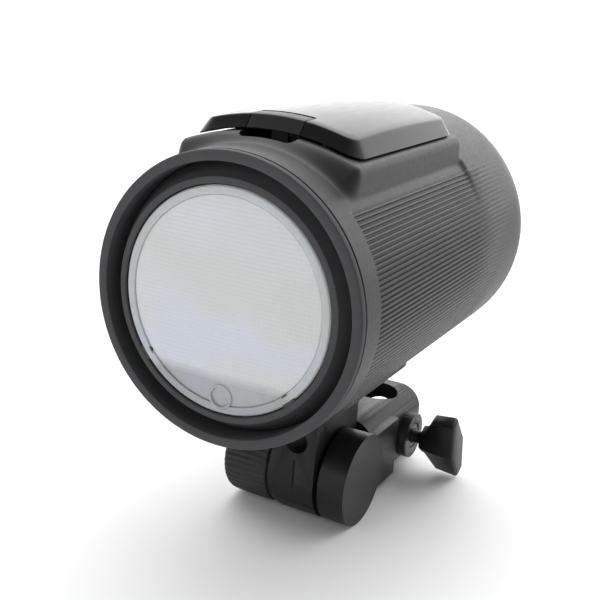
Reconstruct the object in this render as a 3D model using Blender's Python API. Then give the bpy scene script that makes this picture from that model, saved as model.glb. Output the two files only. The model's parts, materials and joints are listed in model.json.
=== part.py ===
"""Battery monolight strobe on a folding stand adapter.

Frame: metres, +Z up, the flash faces -Y. The origin is on the surface that the strobe stands on, under the
middle of its bounding box. Shapes are drawn in head coordinates: the origin is the middle of the front rim,
x to the right, y towards the back, z up from the flash axis. A piece that moves hangs on an empty that
lies on its joint's axis.
"""

import math

import bmesh
import bpy
from mathutils import Matrix, Vector

MM = 0.001
GAP = 0.3 * MM

# Driving dimensions
HEAD_RADIUS = 40 * MM
HEAD_LENGTH = 141 * MM
HINGE_Y = 65.2 * MM
HINGE_DROP = 72 * MM
HINGE_RADIUS = 15.2 * MM
SOCKET_RADIUS = 8.1 * MM
UMBRELLA_RADIUS = 4 * MM
BATTERY_FRONT = 20.8 * MM
BATTERY_BACK = 92 * MM
BATTERY_HALF_WIDTH = 25.2 * MM

# Head casing
AXIS_HEIGHT = HINGE_DROP + HINGE_RADIUS
CASING_FRONT = 2.5 * MM
CASING_WALL = 2.6 * MM
CASING_BORE = HEAD_RADIUS - CASING_WALL
RIM_SEAT_RADIUS = 38.7 * MM
RIM_SEAT_DEPTH = 10.5 * MM
SHOULDER_LENGTH = 15 * MM
SHOULDER_DROP = 7.5 * MM
SHOULDER_START = HEAD_LENGTH - SHOULDER_LENGTH
PANEL_RADIUS = 29.6 * MM
PANEL_FACE = HEAD_LENGTH - 3.7 * MM
PANEL_SEAT = 134 * MM

# Raised deck round the battery
DECK_ARC = 70 * MM
COLLAR_CREST = 42.5 * MM
REAR_RISE = 2.4 * MM
REAR_FALL = 1.5 * MM
DECK_RAMP = (12.8 * MM, 19.4 * MM)
DECK_STEP = (BATTERY_BACK, BATTERY_BACK + 3 * MM)
DECK_EDGE_SIDE = (34.5, 44.0)
DECK_EDGE_REAR = (12.0, 70.0)

# Battery and its bay
COVER_CREST = 46.6 * MM
COVER_CROWN = 0.9 * MM
COVER_DRAFT = 2.5 * MM
COVER_CORNER = 5.6 * MM
BAY_HALF_WIDTH = 23.5 * MM
BAY_FRONT = 21.6 * MM
BAY_BACK = 91.7 * MM
BAY_CORNER = 5 * MM
BAY_FLOOR = 18 * MM
BAY_TOP = 37.4 * MM
BAY_WALL = 0.6 * MM
PACK_TOP = 38.6 * MM
CELL_RADIUS = 9.2 * MM
CELL_LENGTH = 65 * MM
BUTTON_HALF_WIDTH = 8 * MM
BUTTON_BACK = 28.4 * MM
BUTTON_TRAVEL = 1.2 * MM
TONGUE_BACK = 26.2 * MM
SPRING_LENGTH = 4.6 * MM
SPRING_HEIGHT = 40.8 * MM
SPRING_SEAT = TONGUE_BACK + SPRING_LENGTH + BUTTON_TRAVEL + 2 * GAP
RECESS_FLOOR = 39.7 * MM

# Front optics
BEZEL_RADIUS = 33.2 * MM
GLASS_RADIUS = 30.9 * MM
GLASS_EDGE = 1.9 * MM
GROOVE_RADIUS = 37 * MM

# Stand adapter
LUG_HALF_WIDTH = 7 * MM
DISC_INNER = 8.6 * MM
DISC_OUTER = 17.6 * MM
KNOB_INNER = 10.5 * MM
KNOB_OUTER = 26.8 * MM
KNOB_RADIUS = 14.8 * MM
STUD_RADIUS = 4 * MM
UMBRELLA_DROP = 57.6 * MM
SOCKET_Y = 111.5 * MM
SOCKET_DROP = 73.7 * MM
BLOCK_HALF_WIDTH = 13 * MM
BLOCK_HALF_HEIGHT = AXIS_HEIGHT - SOCKET_DROP
BLOCK_FRONT = 82 * MM
SOCKET_END = 86 * MM
BLOCK_BACK = 124 * MM
BLOCK_CORNER = 8 * MM
BOSS_RADIUS = 8 * MM
BOSS_END = 16.5 * MM
SCREW_RADIUS = 2.4 * MM
WING_INNER = 22.4 * MM
WING_OUTER = 33.5 * MM
WING_HALF_LENGTH = 13.1 * MM
WING_TILT = math.radians(-27)

CHARCOAL = (0.055, 0.056, 0.060)
BLACK = (0.018, 0.018, 0.020)
DARK = (0.035, 0.036, 0.039)
STEEL = (0.55, 0.56, 0.58)
BLACKENED = (0.07, 0.07, 0.075)
BRASS = (0.66, 0.50, 0.24)
BOARD_GREEN = (0.03, 0.16, 0.08)
CLEAR = (0.86, 0.88, 0.90)


def clear_scene():
    for thing in list(bpy.data.objects):
        bpy.data.objects.remove(thing, do_unlink=True)


def material(name, colour, roughness, metallic=0.0):
    look = bpy.data.materials.new(name)
    look.use_nodes = True
    shader = look.node_tree.nodes["Principled BSDF"]
    shader.inputs["Base Color"].default_value = (*colour, 1)
    shader.inputs["Roughness"].default_value = roughness
    shader.inputs["Metallic"].default_value = metallic
    return look


class Pivot:
    """An empty on a joint's axis, at a place given in head coordinates."""

    def __init__(self, name, place=(0, 0, 0), parent=None):
        self.place = Vector(place)
        self.empty = bpy.data.objects.new(name, None)
        self.empty.empty_display_size = 5 * MM
        bpy.context.collection.objects.link(self.empty)
        if parent:
            self.empty.parent = parent.empty
            self.empty.location = self.place - parent.place
        else:
            self.empty.location = self.place + Vector((0, -HEAD_LENGTH / 2, AXIS_HEIGHT))


def add(name, shape, pivot, look=None):
    """Turn a shape that is drawn in head coordinates into an object that hangs on its pivot."""
    shape.transform(Matrix.Translation(-pivot.place))
    mesh = bpy.data.meshes.new(name)
    shape.to_mesh(mesh)
    shape.free()
    mesh.shade_smooth()
    mesh.set_sharp_from_angle(angle=math.radians(32))
    piece = bpy.data.objects.new(name, mesh)
    piece.parent = pivot.empty
    bpy.context.collection.objects.link(piece)
    if look:
        mesh.materials.append(look)
    return piece


def combine(piece, shape, pivot, operation, label):
    """Give a piece a Boolean modifier whose tool is kept as a hidden wire object."""
    tool = add(piece.name + "_" + label, shape, pivot)
    tool.hide_render = True
    tool.display_type = "WIRE"
    modifier = piece.modifiers.new(label, "BOOLEAN")
    modifier.operation = operation
    modifier.object = tool


def cut(piece, shape, pivot, label):
    combine(piece, shape, pivot, "DIFFERENCE", label)


def join(piece, shape, pivot, label):
    combine(piece, shape, pivot, "UNION", label)


def keep_inside(piece, shape, pivot, label):
    combine(piece, shape, pivot, "INTERSECT", label)


def across(axis, u, v, w):
    """A point with w along the named axis, and u and v across it in X, Y, Z order."""
    return {"X": Vector((w, u, v)), "Y": Vector((u, w, v)), "Z": Vector((u, v, w))}[axis]


def lofted(rings, hollow=False):
    """Skin through rings of points. The ends are capped, or, when hollow, the last ring meets the first."""
    shape = bmesh.new()
    rows = [[shape.verts.new(point) for point in ring] for ring in rings]
    pairs = list(zip(rows, rows[1:]))
    if hollow:
        pairs.append((rows[-1], rows[0]))
    else:
        shape.faces.new(rows[0])
        shape.faces.new(rows[-1])
    for one, two in pairs:
        for i in range(len(one)):
            j = (i + 1) % len(one)
            shape.faces.new((one[i], one[j], two[j], two[i]))
    bmesh.ops.recalc_face_normals(shape, faces=shape.faces)
    return shape


def turned(profile, axis, centre=(0, 0), sides=40, hollow=False):
    """A turned solid. profile holds (radius, place along the axis), and centre is where the axis passes."""
    rings = []
    for radius, along in profile:
        ring = []
        for k in range(sides):
            angle = math.tau * (k + 0.5) / sides
            u = centre[0] + radius * math.cos(angle)
            v = centre[1] + radius * math.sin(angle)
            ring.append(across(axis, u, v, along))
        rings.append(ring)
    return lofted(rings, hollow)


def cylinder(radius, axis, start, end, centre=(0, 0), sides=40, bevel=0.0):
    profile = [(radius, start), (radius, end)]
    if bevel:
        edge = radius - bevel
        profile = [(edge, start), (radius, start + bevel), (radius, end - bevel), (edge, end)]
    return turned(profile, axis, centre, sides)


def tube(inner, outer, axis, start, end, centre=(0, 0), sides=40):
    profile = [(outer, start), (outer, end), (inner, end), (inner, start)]
    return turned(profile, axis, centre, sides, hollow=True)


def block(low, high, bevel=0.0, segments=2):
    shape = bmesh.new()
    bmesh.ops.create_cube(shape, size=1)
    low, high = Vector(low), Vector(high)
    for corner in shape.verts:
        corner.co = Vector(l + (c + 0.5) * (h - l) for l, c, h in zip(low, corner.co, high))
    if bevel:
        bmesh.ops.bevel(
            shape, geom=shape.edges[:], offset=bevel, segments=segments, profile=0.5, affect="EDGES"
        )
    return shape


def rounded_rectangle(half_u, half_v, radius, centre=(0, 0), steps=5):
    """Outline points, anticlockwise, with an arc of the given radius at each corner."""
    points = []
    for quarter, (su, sv) in enumerate(((1, 1), (-1, 1), (-1, -1), (1, -1))):
        for k in range(steps + 1):
            angle = math.pi / 2 * (quarter + k / steps)
            u = centre[0] + su * (half_u - radius) + radius * math.cos(angle)
            v = centre[1] + sv * (half_v - radius) + radius * math.sin(angle)
            points.append((u, v))
    return points


def prism(outline, axis, start, end):
    return lofted([[across(axis, u, v, w) for u, v in outline] for w in (start, end)])


def swept(path, radius, sides):
    """A round wire along a path of points, with flat ends."""
    rings = []
    for k, point in enumerate(path):
        before, after = path[max(k - 1, 0)], path[min(k + 1, len(path) - 1)]
        along = (after - before).normalized()
        side = along.orthogonal().normalized()
        if rings:
            side = (last_side - along * last_side.dot(along)).normalized()
        last_side = side
        over = along.cross(side)
        ring = []
        for i in range(sides):
            angle = math.tau * i / sides
            ring.append(point + radius * (side * math.cos(angle) + over * math.sin(angle)))
        rings.append(ring)
    return lofted(rings)


def blend(value, start, end):
    """0 before start, 1 after end, and a smooth rise between."""
    part = min(max((value - start) / (end - start), 0), 1)
    return part * part * (3 - 2 * part)


# Head casing


def shoulder(y):
    """(radius drop, what is left of the height) where the back of the casing rounds off."""
    part = min(max((y - SHOULDER_START) / SHOULDER_LENGTH, 0), 1)
    left = math.sqrt(1 - part * part)
    return SHOULDER_DROP * (1 - left), left


def casing_radius(angle, y):
    """Outer radius at an angle from straight up: a cylinder with a raised deck along its top."""
    turn = abs(math.degrees(angle))
    drop, left = shoulder(y)
    low = COLLAR_CREST - DECK_ARC
    arc = low * math.cos(angle) + math.sqrt(DECK_ARC**2 - (low * math.sin(angle)) ** 2)
    beside = (arc - HEAD_RADIUS) * (1 - blend(turn, *DECK_EDGE_SIDE))
    fall = REAR_FALL * (max(y - BATTERY_BACK, 0) / (HEAD_LENGTH - BATTERY_BACK)) ** 1.5
    behind = (REAR_RISE * left - fall) * (1 - blend(turn, *DECK_EDGE_REAR))
    raised = beside + blend(y, *DECK_STEP) * (behind - beside)
    return HEAD_RADIUS + blend(y, *DECK_RAMP) * raised - drop


def casing_angles():
    """Angles from straight up, fine where the deck's edge turns down and coarse round the bottom."""
    side = [6, 12, 18, 24, 29, 33, 35, 37, 39, 41, 43, 45, 49, 55]
    side += [55 + 125 * k / 17 for k in range(1, 17)]
    return [math.radians(a) for a in [0] + side + [180] + [-a for a in reversed(side)]]


def casing_ring(radius_at, y):
    ring = []
    for angle in casing_angles():
        radius = radius_at(angle, y)
        ring.append(Vector((radius * math.sin(angle), y, radius * math.cos(angle))))
    return ring


def bay_prism(inset, bottom, top):
    """An upright prism over the battery bay's plan, drawn in by inset."""
    half_length, middle = (BAY_BACK - BAY_FRONT) / 2, (BAY_BACK + BAY_FRONT) / 2
    outline = rounded_rectangle(BAY_HALF_WIDTH - inset, half_length - inset, BAY_CORNER - inset, (0, middle))
    return prism(outline, "Z", bottom, top)


def main_casing(pivot, look):
    lip = 0.6 * MM
    front = [CASING_FRONT, 11 * MM, 13 * MM, 14.8 * MM, 16.6 * MM, 18.2 * MM, 19.6 * MM]
    back = [BATTERY_BACK - lip, *(BATTERY_BACK + k * MM for k in (1, 2, 3.2)), 108 * MM]
    places = front + [55 * MM] + back
    for step in range(8):
        places.append(SHOULDER_START + SHOULDER_LENGTH * math.sin(math.pi / 2 * step / 7))
    rings = [casing_ring(casing_radius, y) for y in places]
    opening = PANEL_RADIUS + GAP
    inside = [(opening, HEAD_LENGTH), (opening, PANEL_SEAT), (CASING_BORE - 3 * MM, PANEL_SEAT)]
    inside += [(CASING_BORE, SHOULDER_START), (CASING_BORE, RIM_SEAT_DEPTH)]
    inside += [(RIM_SEAT_RADIUS, RIM_SEAT_DEPTH), (RIM_SEAT_RADIUS, CASING_FRONT)]
    for radius, y in inside:
        rings.append(casing_ring(lambda angle, place, fixed=radius: fixed, y))
    casing = add("main_casing", lofted(rings, hollow=True), pivot, look)
    cut(casing, bay_prism(0, 0, 60 * MM), pivot, "bay")
    half = BUTTON_HALF_WIDTH + 0.5 * MM
    outline = rounded_rectangle(half, 4.2 * MM, 2.4 * MM, (0, 20.6 * MM))
    cut(casing, prism(outline, "Z", RECESS_FLOOR, 60 * MM), pivot, "finger_recess")
    for k, (x, y) in enumerate(saddle_screw_places()):
        cut(casing, cylinder(1.9 * MM, "Z", -45 * MM, -20 * MM, (x, y), 20), pivot, f"screw_{k}")


def front_rim(pivot, look):
    chamfer = 1.1 * MM
    outer = RIM_SEAT_RADIUS - GAP
    profile = [
        (HEAD_RADIUS - chamfer, 0),
        (HEAD_RADIUS, chamfer),
        (HEAD_RADIUS, CASING_FRONT - GAP),
        (outer, CASING_FRONT - GAP),
        (outer, RIM_SEAT_DEPTH - GAP),
        (GROOVE_RADIUS, RIM_SEAT_DEPTH - GAP),
        (GROOVE_RADIUS, 0.3 * MM),
        (GROOVE_RADIUS + 0.3 * MM, 0),
    ]
    add("front_rim", turned(profile, "Y", sides=72, hollow=True), pivot, look)


def front_optics(pivot, looks):
    bezel_front = 1 * MM
    ledge, bezel_back = 6 * MM, 8.8 * MM
    flange = GROOVE_RADIUS - GAP
    inner = GLASS_RADIUS - 1.3 * MM
    profile = [
        (BEZEL_RADIUS - 0.4 * MM, bezel_front),
        (BEZEL_RADIUS, bezel_front + 0.6 * MM),
        (flange, 7 * MM),
        (flange, bezel_back),
        (inner, bezel_back),
        (inner, ledge),
        (GLASS_RADIUS + GAP, ledge),
        (GLASS_RADIUS + GAP, bezel_front),
    ]
    add("glass_bezel", turned(profile, "Y", sides=48, hollow=True), pivot, looks["dark"])
    ring = tube(30 * MM, flange, "Y", bezel_back + GAP, RIM_SEAT_DEPTH - GAP, sides=48)
    add("mount_ring", ring, pivot, looks["steel"])
    dome = [(GLASS_RADIUS * share, GLASS_EDGE * (0.45 + 0.55 * share**2)) for share in (0.3, 0.75, 1)]
    rear = [(GLASS_RADIUS, ledge - GAP), (GLASS_RADIUS * 0.5, ledge - 0.9 * MM)]
    add("front_glass", turned(dome + rear, "Y", sides=48), pivot, looks["clear"])


def reflector(pivot, look):
    """A turned bowl whose lower edge is cut off flat to leave room for the modelling light."""
    mouth, throat = 27.8 * MM, 12 * MM
    front, back = 7 * MM, 21.3 * MM
    thick = 0.9 * MM
    steps = 5
    inner, outer = [], []
    for k in range(steps + 1):
        part = k / steps
        radius = throat + (mouth - throat) * math.sqrt(1 - part)
        inner.append((radius, front + (back - front) * part))
        outer.append((radius + thick, front + (back - front) * part))
    bowl = turned(inner + outer[::-1], "Y", sides=36, hollow=True)
    piece = add("reflector", bowl, pivot, look)
    chord = block((-40 * MM, 0, -40 * MM), (40 * MM, 40 * MM, -20.5 * MM))
    cut(piece, chord, pivot, "chord")


def flash_tube(pivot, look):
    """An arc of glass tube round the axis, with both legs turned back into the base."""
    radius, wall = 9 * MM, 2.1 * MM
    ring_y, leg_y = 13.5 * MM, 20.3 * MM
    gap_angle = math.radians(24)
    steps = 22
    path = []
    for k in range(steps + 1):
        angle = gap_angle + (math.tau - 2 * gap_angle) * k / steps
        path.append(Vector((radius * math.sin(angle), ring_y, radius * math.cos(angle))))
    first, last = path[0].copy(), path[-1].copy()
    for place, index in ((first, 0), (last, len(path))):
        leg = [Vector((place.x, leg_y, place.z)), Vector((place.x, ring_y + 2 * MM, place.z))]
        if index:
            path.extend(reversed(leg))
        else:
            path[:0] = leg
    add("flash_tube", swept(path, wall, 10), pivot, look)


def lamp_module(pivot, looks):
    base = cylinder(11.2 * MM, "Y", 20.6 * MM, 25 * MM, bevel=0.6 * MM)
    add("tube_base", base, pivot, looks["ceramic"])
    angles = [math.radians(a) for a in range(-132, -47, 12)]
    outline = [(29 * MM * math.cos(a), 29 * MM * math.sin(a)) for a in angles]
    board = prism(outline, "Y", 9.5 * MM, 10.8 * MM)
    add("led_board", board, pivot, looks["board"])
    for name, x, radius in (("modelling_led", 0, 3.9 * MM), ("sensor_lens", 9 * MM, 2.2 * MM)):
        profile = [(radius, 9.2 * MM), (radius, 8.2 * MM), (radius * 0.75, 7.0 * MM), (radius * 0.3, 6.4 * MM)]
        lens = turned(profile, "Y", (x, -25.3 * MM), 24)
        add(name, lens, pivot, looks["clear"])


def electronics(pivot, looks):
    wall = CASING_BORE - GAP
    bulkhead = add("bulkhead", cylinder(wall, "Y", 32 * MM, 34 * MM, sides=48), pivot, looks["dark"])
    cut(bulkhead, block((-30 * MM, 30 * MM, 15 * MM), (30 * MM, 36 * MM, 40 * MM)), pivot, "bay_side")
    board = block((-33 * MM, 40 * MM, 3 * MM), (33 * MM, 120 * MM, 4.6 * MM))
    add("main_board", board, pivot, looks["board"])
    coil = block((-10 * MM, 44 * MM, 4.9 * MM), (10 * MM, 62 * MM, 15 * MM), 1 * MM)
    add("charge_transformer", coil, pivot, looks["ferrite"])
    trigger = block((-8 * MM, 37 * MM, -26 * MM), (8 * MM, 52 * MM, -12 * MM), 1 * MM)
    add("trigger_coil", trigger, pivot, looks["ferrite"])
    for k, x in enumerate((-12.6 * MM, 12.6 * MM)):
        can = cylinder(12 * MM, "Y", 60 * MM, 116 * MM, (x, -12.5 * MM), 32, 1 * MM)
        add(f"capacitor_{k + 1}", can, pivot, looks["sleeve"])
    strap = block((-22 * MM, 82 * MM, -27.5 * MM), (22 * MM, 92 * MM, -24.9 * MM), 0.5 * MM, 1)
    add("capacitor_bracket", strap, pivot, looks["dark"])


# Battery, which lifts off with its release button


def deck_height(x, crest):
    return crest - DECK_ARC + math.sqrt(DECK_ARC**2 - x * x)


def battery_outline(inset):
    """Plan of the battery cover, drawn in by inset, with its long sides and ends divided.
    Its corners tighten as it is drawn in."""
    half_width = BATTERY_HALF_WIDTH - inset
    half_length = (BATTERY_BACK - BATTERY_FRONT) / 2 - inset
    middle = (BATTERY_BACK + BATTERY_FRONT) / 2
    corners = rounded_rectangle(half_width, half_length, COVER_CORNER - 0.8 * inset, (0, middle), 4)
    points = []
    for here, there in zip(corners, corners[1:] + corners[:1]):
        parts = 6 if math.dist(here, there) > COVER_CORNER else 1
        for k in range(parts):
            points.append(tuple(a + (b - a) * k / parts for a, b in zip(here, there)))
    return points, middle


def cover_shape():
    """The battery cover as one solid: flared sides, an arched underside and a crowned, arched top."""
    half_length = (BATTERY_BACK - BATTERY_FRONT) / 2

    def row(inset, share, crest, crown):
        points, middle = battery_outline(inset)
        ring = []
        for x, y in points:
            px, py = x * share, middle + (y - middle) * share
            lift = crown * (1 - ((py - middle) / half_length) ** 2)
            ring.append(Vector((px, py, deck_height(px, crest) + lift)))
        return ring

    under = COLLAR_CREST + 1.5 * GAP
    edge = 0.5 * MM
    rings = [row(0, share, under, 0) for share in (0.15, 0.6, 1)]
    rings.append(row(COVER_DRAFT - edge * 0.4, 1, COVER_CREST - edge, COVER_CROWN))
    rings += [row(COVER_DRAFT + edge, share, COVER_CREST, COVER_CROWN) for share in (1, 0.75, 0.45, 0.15)]
    return lofted(rings)


def button_space(margin, back):
    half = BUTTON_HALF_WIDTH + margin
    return block((-half, BATTERY_FRONT - 5 * MM, 30 * MM), (half, back, 60 * MM))


def battery_pack(pivot, button_pivot, looks):
    cover = add("battery_cover", cover_shape(), pivot, looks["gloss"])
    cut(cover, button_space(GAP, BUTTON_BACK + BUTTON_TRAVEL + GAP), pivot, "button_notch")
    button = add("release_button", cover_shape(), button_pivot, looks["satin"])
    keep_inside(button, button_space(0, BUTTON_BACK), button_pivot, "button_part")
    tongue = block((-2.5 * MM, TONGUE_BACK - 1.2 * MM, 39.2 * MM), (2.5 * MM, TONGUE_BACK, COLLAR_CREST + MM))
    join(button, tongue, button_pivot, "tongue")

    skin = 0.7 * MM
    outside = BAY_WALL + 2 * GAP
    bottom = BAY_FLOOR + BAY_WALL + GAP
    case = add("battery_case", bay_prism(outside, bottom, PACK_TOP), pivot, looks["dark"])
    cut(case, bay_prism(outside + skin, bottom + skin, PACK_TOP + 5 * MM), pivot, "inside")
    cut(case, block(*contact_space(0.4 * MM)), pivot, "contact_slot")

    middle = (BAY_FRONT + BAY_BACK) / 2
    for k, x in enumerate((-CELL_RADIUS - 0.2 * MM, CELL_RADIUS + 0.2 * MM)):
        ends = (middle - CELL_LENGTH / 2, middle + CELL_LENGTH / 2)
        centre = (x, bottom + 1.2 * MM + CELL_RADIUS)
        cell = cylinder(CELL_RADIUS, "Y", *ends, centre, 28, 0.8 * MM)
        add(f"battery_cell_{k + 1}", cell, pivot, looks["sleeve"])
    board = block((19.4 * MM, 30 * MM, bottom + 2 * MM), (20.4 * MM, 84 * MM, PACK_TOP - 2 * MM))
    add("battery_board", board, pivot, looks["board"])

    seat = block((-3.2 * MM, SPRING_SEAT, 39 * MM), (3.2 * MM, SPRING_SEAT + MM, 42.4 * MM))
    add("spring_seat", seat, pivot, looks["steel"])
    start = TONGUE_BACK + GAP
    turns, per_turn, coil, wire = 5, 10, 1.3 * MM, 0.2 * MM
    path = []
    for k in range(turns * per_turn + 1):
        angle = math.tau * k / per_turn
        along = start + wire + (SPRING_LENGTH - 2 * wire) * k / (turns * per_turn)
        path.append(Vector((coil * math.cos(angle), along, SPRING_HEIGHT + coil * math.sin(angle))))
    add("release_spring", swept(path, wire, 5), button_pivot, looks["steel"])


def contact_space(margin):
    low = Vector((-2.5 * MM, 78 * MM, BAY_FLOOR + BAY_WALL + GAP))
    high = Vector((2.5 * MM, 86 * MM, BAY_FLOOR + BAY_WALL + 2.6 * MM))
    grow = Vector((margin, margin, margin))
    return low - grow, high + grow


def battery_bay(pivot, looks):
    tray = add("battery_tray", bay_prism(GAP, BAY_FLOOR, BAY_TOP), pivot, looks["dark"])
    cut(tray, bay_prism(GAP + BAY_WALL, BAY_FLOOR + BAY_WALL, BAY_TOP + 5 * MM), pivot, "inside")
    add("contact_block", block(*contact_space(0), 0.4 * MM, 1), pivot, looks["brass"])


# Control panel on the back


def panel_places():
    return {"dial": (0, -11 * MM), "power_button": (-17.6 * MM, -11 * MM), "light_button": (17.6 * MM, -11 * MM)}


def control_panel(pivot, looks):
    back = PANEL_FACE - 2.2 * MM
    panel = add("rear_panel", cylinder(PANEL_RADIUS, "Y", back, PANEL_FACE, sides=48), pivot, looks["gloss"])
    window_low = Vector((-14.5 * MM, PANEL_FACE - 0.9 * MM, 1 * MM))
    window_high = Vector((14.5 * MM, PANEL_FACE + 0.1 * MM, 17.5 * MM))
    margin = Vector((GAP, GAP, GAP))
    cut(panel, block(window_low - margin, window_high + margin), pivot, "window_seat")
    add("display_window", block(window_low, window_high - Vector((0, 0.3 * MM, 0))), pivot, looks["gloss"])
    module = block((-16 * MM, back - 3.2 * MM, 0), (16 * MM, back - GAP, 18 * MM), 0.4 * MM, 1)
    add("display_module", module, pivot, looks["steel"])
    for name, centre in panel_places().items():
        radius = 2.3 * MM if name == "dial" else 3.5 * MM
        cut(panel, cylinder(radius, "Y", 130 * MM, 142 * MM, centre, 28), pivot, name + "_hole")
    board = cylinder(27 * MM, "Y", 128.4 * MM, 130 * MM, sides=40)
    add("panel_board", board, pivot, looks["board"])


def control_dial(pivot, look):
    """A ring with a knurled rim: the rim's radius rises and falls 24 times round it."""
    centre = panel_places()["dial"]
    sides, inner = 48, 4.2 * MM
    rings = []
    for mean, y in ((8.6, 0.3), (8.9, 0.7), (8.9, 2.6), (8.4, 3.1)):
        ring = []
        for k in range(sides):
            angle = math.tau * k / sides
            radius = mean * MM + (0.12 * MM if k % 2 else -0.12 * MM)
            ring.append(
                Vector(
                    (
                        centre[0] + radius * math.cos(angle),
                        PANEL_FACE + y * MM,
                        centre[1] + radius * math.sin(angle),
                    )
                )
            )
        rings.append(ring)
    dial = add("control_dial", lofted(rings), pivot, look)
    cut(dial, cylinder(inner, "Y", PANEL_FACE - MM, PANEL_FACE + 6 * MM, centre, 24), pivot, "bore")


def push_button(name, pivot, radius, stem, face, look):
    """A round cap on a stem that passes through the panel to its switch."""
    centre = panel_places()["dial" if name == "dial_button" else name]
    foot = 131 * MM
    cap_back = face - 1.7 * MM
    edge = 0.4 * MM
    profile = [(stem, foot), (stem, cap_back), (radius, cap_back), (radius, face - edge), (radius - edge, face)]
    add(name, turned(profile, "Y", centre, 28), pivot, look)


# Stand adapter


def saddle_screw_places():
    return [(x, y) for x in (-12 * MM, 12 * MM) for y in (42 * MM, 87 * MM)]


def head_bracket(pivot, look):
    """A saddle that hugs the casing, and a lug with the umbrella hole and the hinge eye."""
    inner, outer = HEAD_RADIUS + GAP, HEAD_RADIUS + 3.2 * MM
    saddle = add("head_bracket", tube(inner, outer, "Y", 20 * MM, 110 * MM, sides=72), pivot, look)
    outline = rounded_rectangle(20 * MM, 30 * MM, 9 * MM, (0, 64 * MM), 5)
    keep_inside(saddle, prism(outline, "Z", -60 * MM, -20 * MM), pivot, "plan")
    front, back = HINGE_Y - HINGE_RADIUS, HINGE_Y + HINGE_RADIUS
    eye = [(back, -(HEAD_RADIUS + 1.5 * MM)), (front, -(HEAD_RADIUS + 1.5 * MM))]
    steps = 24
    for k in range(steps + 1):
        angle = math.pi + math.pi * k / steps
        eye.append((HINGE_Y + HINGE_RADIUS * math.cos(angle), -HINGE_DROP + HINGE_RADIUS * math.sin(angle)))
    join(saddle, prism(eye, "X", -LUG_HALF_WIDTH, LUG_HALF_WIDTH), pivot, "lug")
    hinge = (HINGE_Y, -HINGE_DROP)
    bore = cylinder(STUD_RADIUS + GAP, "X", -20 * MM, 20 * MM, hinge, 28)
    cut(saddle, bore, pivot, "eye")
    hole = cylinder(UMBRELLA_RADIUS, "Y", 30 * MM, 100 * MM, (0, -UMBRELLA_DROP), 32)
    cut(saddle, hole, pivot, "umbrella_hole")
    for k, (x, y) in enumerate(saddle_screw_places()):
        cut(saddle, cylinder(1.9 * MM, "Z", -60 * MM, -20 * MM, (x, y), 20), pivot, f"screw_{k}")
        cut(saddle, cylinder(3.3 * MM, "Z", -60 * MM, -40.6 * MM, (x, y), 24), pivot, f"seat_{k}")


def saddle_screws(pivot, look):
    for k, (x, y) in enumerate(saddle_screw_places()):
        profile = [(2.8, -42.4), (3.0, -42.2), (3.0, -40.9), (1.5, -40.9), (1.5, -34.5), (1.1, -34)]
        shape = turned([(r * MM, z * MM) for r, z in profile], "Z", (x, y), 20)
        screw = add(f"saddle_screw_{k + 1}", shape, pivot, look)
        socket = [(1.2 * MM * math.cos(a * math.tau / 6), 1.2 * MM * math.sin(a * math.tau / 6)) for a in range(6)]
        hexagon = prism([(x + u, y + v) for u, v in socket], "Z", -45 * MM, -41.3 * MM)
        cut(screw, hexagon, pivot, "hexagon")


def stand_arm(pivot, look):
    """The hinge disc, a side plate and the socket block with its two crossing bores and the clamp boss."""
    hinge = (HINGE_Y, -HINGE_DROP)
    arm = add("stand_arm", cylinder(HINGE_RADIUS, "X", DISC_INNER, DISC_OUTER, hinge, 48, 0.5 * MM), pivot, look)
    plate = block(
        (DISC_INNER, HINGE_Y, -SOCKET_DROP - 10.5 * MM),
        (BLOCK_HALF_WIDTH + 1.5 * MM, 100 * MM, -SOCKET_DROP + 10.5 * MM),
        1.5 * MM,
    )
    join(arm, plate, pivot, "side_plate")
    centre = (0, -SOCKET_DROP)
    outline = rounded_rectangle(BLOCK_HALF_WIDTH, BLOCK_HALF_HEIGHT, BLOCK_CORNER, centre, 6)
    edge = 1.2 * MM
    inner = rounded_rectangle(BLOCK_HALF_WIDTH - edge, BLOCK_HALF_HEIGHT - edge, BLOCK_CORNER - edge, centre, 6)
    places = ((inner, BLOCK_FRONT), (outline, BLOCK_FRONT + edge), (outline, BLOCK_BACK - edge), (inner, BLOCK_BACK))
    barrel = lofted([[across("Y", u, v, y) for u, v in ring] for ring, y in places])
    join(arm, barrel, pivot, "socket_block")
    screw_axis = (SOCKET_Y, -SOCKET_DROP)
    boss = cylinder(BOSS_RADIUS, "X", 8.5 * MM, BOSS_END, screw_axis, 40, 0.6 * MM)
    join(arm, boss, pivot, "boss")

    chamfer = 0.6 * MM
    mouth = SOCKET_RADIUS + chamfer
    level = [(SOCKET_RADIUS, SOCKET_END), (SOCKET_RADIUS, BLOCK_BACK - chamfer), (mouth, BLOCK_BACK), (mouth, 126 * MM)]
    cut(arm, turned(level, "Y", centre, 32), pivot, "socket")
    top, bottom = -SOCKET_DROP + BLOCK_HALF_HEIGHT, -SOCKET_DROP - BLOCK_HALF_HEIGHT
    upright = [(mouth, bottom - MM), (mouth, bottom), (SOCKET_RADIUS, bottom + chamfer)]
    upright += [(SOCKET_RADIUS, top - chamfer), (mouth, top), (mouth, top + MM)]
    cut(arm, turned(upright, "Z", (0, SOCKET_Y), 32), pivot, "cross_socket")
    cut(arm, cylinder(4.5 * MM, "X", 9.2 * MM, 20 * MM, screw_axis, 28), pivot, "bush_seat")
    cut(arm, cylinder(SCREW_RADIUS + GAP, "X", 5 * MM, 12 * MM, screw_axis, 24), pivot, "screw_hole")
    cut(arm, cylinder(STUD_RADIUS + GAP, "X", 5 * MM, 15 * MM, hinge, 28), pivot, "stud_hole")


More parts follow.
